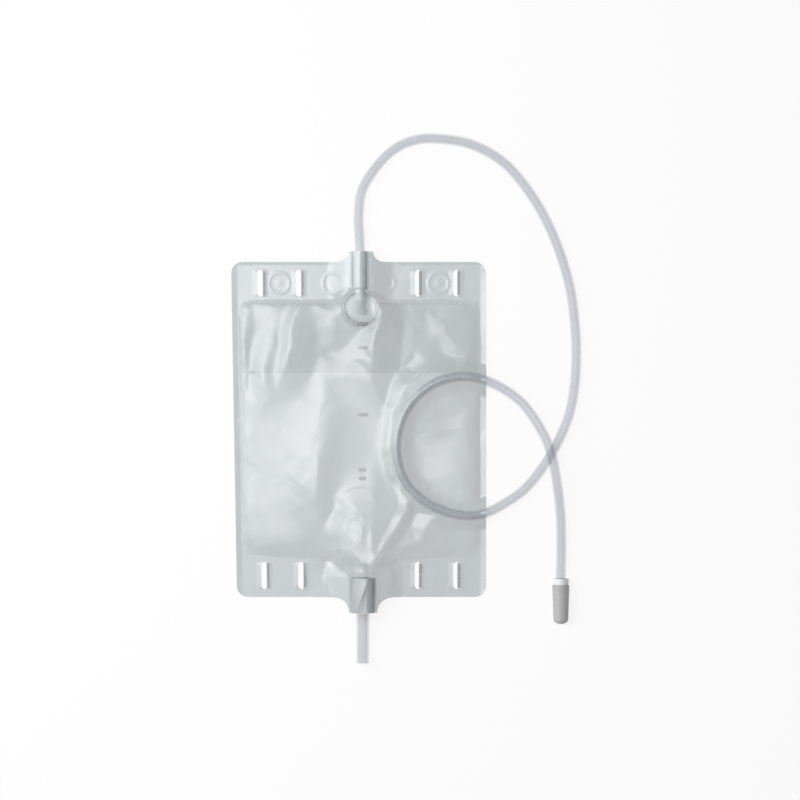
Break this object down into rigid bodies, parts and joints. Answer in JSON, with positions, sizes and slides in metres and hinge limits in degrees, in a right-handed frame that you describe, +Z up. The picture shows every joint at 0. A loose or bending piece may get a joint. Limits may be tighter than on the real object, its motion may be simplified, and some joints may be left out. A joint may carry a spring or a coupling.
{
  "type": "urine drainage bag",
  "caption": "Flat clear drainage bag with hanging slots, non-return valve, grey push-pull outlet and a long inlet tube with capped connector.",
  "frame": {"origin": "on the table, under the middle of the bag with its ports", "axes": "+Y towards the inlet, +Z up out of the bag's front, +X to the side where the tube lies"},
  "size_m": [0.3094, 0.4672, 0.0245],
  "materials": {
    "clear_film": "gloss",
    "soft_clear": "satin",
    "rigid_clear": "gloss",
    "silicone": "matte",
    "rubber": "matte",
    "white_plastic": "satin",
    "grey_plastic": "satin"
  },
  "bodies": {
    "bag": {"front_film": "clear_film", "back_film": "clear_film", "anti_reflux_film": "clear_film", "inlet_sleeve": "soft_clear", "valve_lower_shell": "rigid_clear", "valve_upper_shell": "rigid_clear", "duckbill_valve": "silicone", "outlet_barrel": "grey_plastic", "inlet_tube": "soft_clear", "tube_connector": "white_plastic"},
    "stem": {"valve_stem": "rigid_clear", "stem_seal_upper": "rubber", "stem_seal_lower": "rubber", "outlet_tube": "soft_clear"},
    "cap": {"connector_cap": "grey_plastic"}
  },
  "joints": [
    {"name": "stem_push", "type": "slide", "parent": "bag", "child": "stem", "axis": [0, 1, 0], "range_m": [0, 0.0085]},
    {"name": "cap_pull", "type": "slide", "parent": "bag", "child": "cap", "axis": [0, -1, 0], "range_m": [0, 0.045]}
  ]
}
